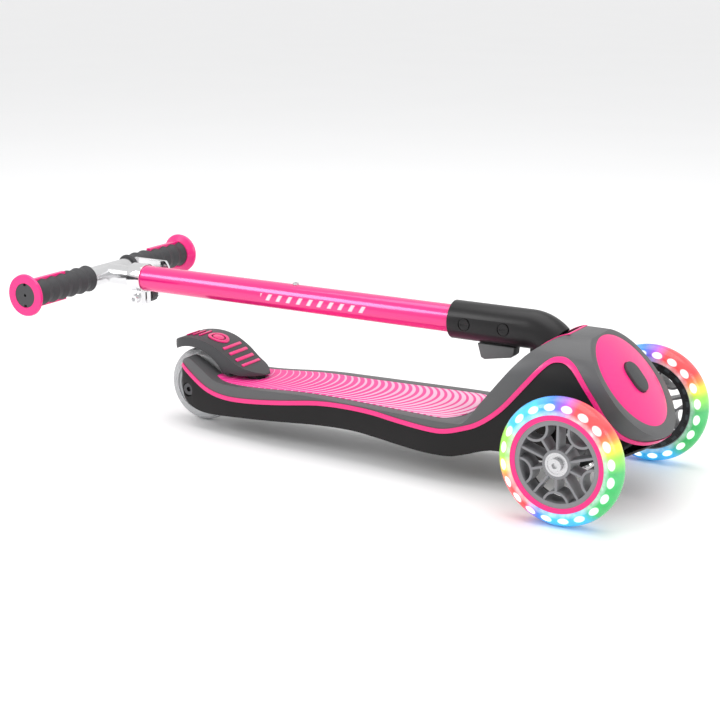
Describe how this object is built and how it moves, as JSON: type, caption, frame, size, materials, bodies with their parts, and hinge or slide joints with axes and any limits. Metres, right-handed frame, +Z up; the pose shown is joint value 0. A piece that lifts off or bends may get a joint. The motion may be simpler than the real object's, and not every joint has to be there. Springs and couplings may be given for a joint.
{
  "type": "kick scooter",
  "caption": "Folding three-wheeled kick scooter for a small child, folded flat, with a telescopic handlebar, light-up front wheels, foot brake and lean steering.",
  "frame": {"origin": "on the floor, below the middle of the folded scooter, halfway between the grips", "axes": "+X towards the front wheels, +Y to the rider's left, +Z up"},
  "size_m": [0.6826, 0.272, 0.1708],
  "materials": {
    "grey_shell": "satin moulded",
    "black_shell": "fine-grained moulded",
    "pink_gloss": "glossy moulded",
    "pink_pad": "two-colour printed grip pad",
    "pink_paint": "gloss powder coat",
    "black_metal": "satin powder coat",
    "steel": "bright turned",
    "chrome": "polished plate",
    "alloy": "polished",
    "grip_rubber": "soft matt",
    "dark_plastic": "satin moulded",
    "nylon": "natural nylon",
    "clear_tyre": "translucent cast polyurethane",
    "grey_core": "satin moulded",
    "rim_grey": "satin moulded"
  },
  "bodies": {
    "chassis": {"deck_top": "grey_shell", "deck_bottom": "black_shell", "deck_trim": "pink_gloss", "deck_pad": "pink_pad", "nose_cap": "pink_gloss", "neck_gasket": "pink_gloss", "axle_beam": "black_shell", "kingpins": "steel", "hinge_bracket": "black_metal", "fold_pin": "steel", "deck_screws": "steel", "rear_axle": "steel", "rear_nut": "steel", "brake_pin": "steel", "brake_spring": "steel"},
    "steering_bar": {"neck": "black_metal", "outer_tube": "pink_paint", "tube_bush": "nylon", "clamp_collar": "chrome", "clamp_bolt": "chrome", "clamp_nut": "dark_plastic", "neck_bolts": "black_metal", "guide_screw": "steel"},
    "fold_latch": {"release_trigger": "dark_plastic", "latch_bolt": "steel"},
    "handle": {"inner_tube": "alloy", "crossbar": "alloy", "slide_bush": "nylon", "grip_right": "grip_rubber", "grip_left": "grip_rubber", "grip_band_right": "pink_gloss", "grip_band_left": "pink_gloss", "grip_plugs": "dark_plastic"},
    "clamp_lever": {"clamp_lever": "chrome"},
    "tie_rod": {"tie_rod": "steel"},
    "rear_wheel": {"rear_tyre": "clear_tyre", "rear_rim": "grey_core", "rear_bearings": "steel", "rear_spacer": "steel"},
    "brake": {"brake_fender": "dark_plastic", "brake_ribs": "pink_gloss"},
    "lock_button": {"lock_button": "dark_plastic"},
    "knuckle_right": {"knuckle_right": "dark_plastic", "axle_bolt_right": "steel"},
    "front_wheel_right": {"tyre_right": "clear_tyre", "rim_right": "rim_grey", "ring_right": "pink_gloss", "light_ring_right": "black_shell", "bearings_right": "steel", "spacer_right": "steel"},
    "knuckle_left": {"knuckle_left": "dark_plastic", "axle_bolt_left": "steel"},
    "front_wheel_left": {"tyre_left": "clear_tyre", "rim_left": "rim_grey", "ring_left": "pink_gloss", "light_ring_left": "black_shell", "bearings_left": "steel", "spacer_left": "steel"}
  },
  "joints": [
    {"name": "fold", "type": "hinge", "parent": "chassis", "child": "steering_bar", "pos_m": [0.21015, 0, 0.129], "axis": [0, 1, 0], "range_deg": [0, 75]},
    {"name": "height", "type": "slide", "parent": "steering_bar", "child": "handle", "axis": [-1, 0, 0], "range_m": [0, 0.1]},
    {"name": "clamp_lever_swing", "type": "hinge", "parent": "steering_bar", "child": "clamp_lever", "pos_m": [-0.27285, 0.0244, 0.126], "axis": [-1, 0, 0], "range_deg": [0, 110]},
    {"name": "latch_slide", "type": "slide", "parent": "steering_bar", "child": "fold_latch", "axis": [1, 0, 0], "range_m": [0, 0.004]},
    {"name": "steer_right", "type": "hinge", "parent": "chassis", "child": "knuckle_right", "pos_m": [0.28115, -0.068, 0.06], "axis": [-0.509, 0, 0.8607], "range_deg": [-12, 12], "stiffness_Nm_per_rad": 4},
    {"name": "steer_left", "type": "hinge", "parent": "chassis", "child": "knuckle_left", "pos_m": [0.28115, 0.068, 0.06], "axis": [-0.509, 0, 0.8607], "range_deg": [-12, 12]},
    {"name": "tie_rod_swing", "type": "hinge", "parent": "knuckle_right", "child": "tie_rod", "pos_m": [0.29836, -0.068, 0.07018], "axis": [-0.509, 0, 0.8607], "range_deg": [-12, 12]},
    {"name": "spin_right", "type": "hinge", "parent": "knuckle_right", "child": "front_wheel_right", "pos_m": [0.28115, -0.11, 0.06], "axis": [0, 1, 0], "continuous": true},
    {"name": "spin_left", "type": "hinge", "parent": "knuckle_left", "child": "front_wheel_left", "pos_m": [0.28115, 0.11, 0.06], "axis": [0, 1, 0], "continuous": true},
    {"name": "spin_rear", "type": "hinge", "parent": "chassis", "child": "rear_wheel", "pos_m": [-0.18885, 0, 0.04], "axis": [0, 1, 0], "continuous": true},
    {"name": "brake_press", "type": "hinge", "parent": "chassis", "child": "brake", "pos_m": [-0.12085, 0, 0.046], "axis": [0, -1, 0], "range_deg": [0, 4], "stiffness_Nm_per_rad": 2, "springref_deg": -8.59},
    {"name": "lock_press", "type": "slide", "parent": "chassis", "child": "lock_button", "axis": [-0.7771, 0, -0.6293], "range_m": [0, 0.006]}
  ],
  "couplings": [
    {"joint": "steer_left", "follows": "steer_right", "ratio": 1},
    {"joint": "tie_rod_swing", "follows": "steer_right", "ratio": -1}
  ]
}
